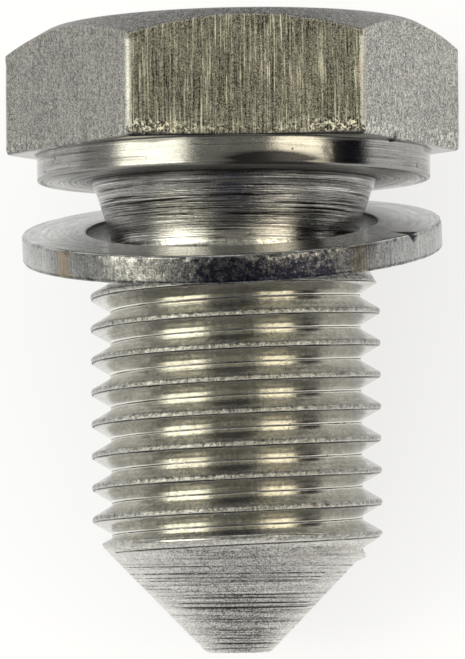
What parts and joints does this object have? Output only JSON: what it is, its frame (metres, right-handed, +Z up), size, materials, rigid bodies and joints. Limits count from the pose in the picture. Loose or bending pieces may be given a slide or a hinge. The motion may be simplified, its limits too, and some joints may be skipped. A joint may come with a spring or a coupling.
{
  "type": "oil drain plug",
  "caption": "Hexagon-head threaded drain plug with a collar, a tapered neck and a conical tip, and a loose flat sealing washer on its neck.",
  "frame": {"origin": "centre of the plan of the lying plug, on the ground that it lies on", "axes": "+Z up; +Y from the tip towards the head; +X level, across the plug"},
  "size_m": [0.021, 0.0308, 0.0209],
  "materials": {
    "plug_steel": "zinc-plated steel, brushed and lightly worn",
    "washer_metal": "plain metal, fine-grained and worn at the rim"
  },
  "bodies": {
    "root": {"plug_body": "plug_steel", "washer": "washer_metal"}
  },
  "joints": []
}
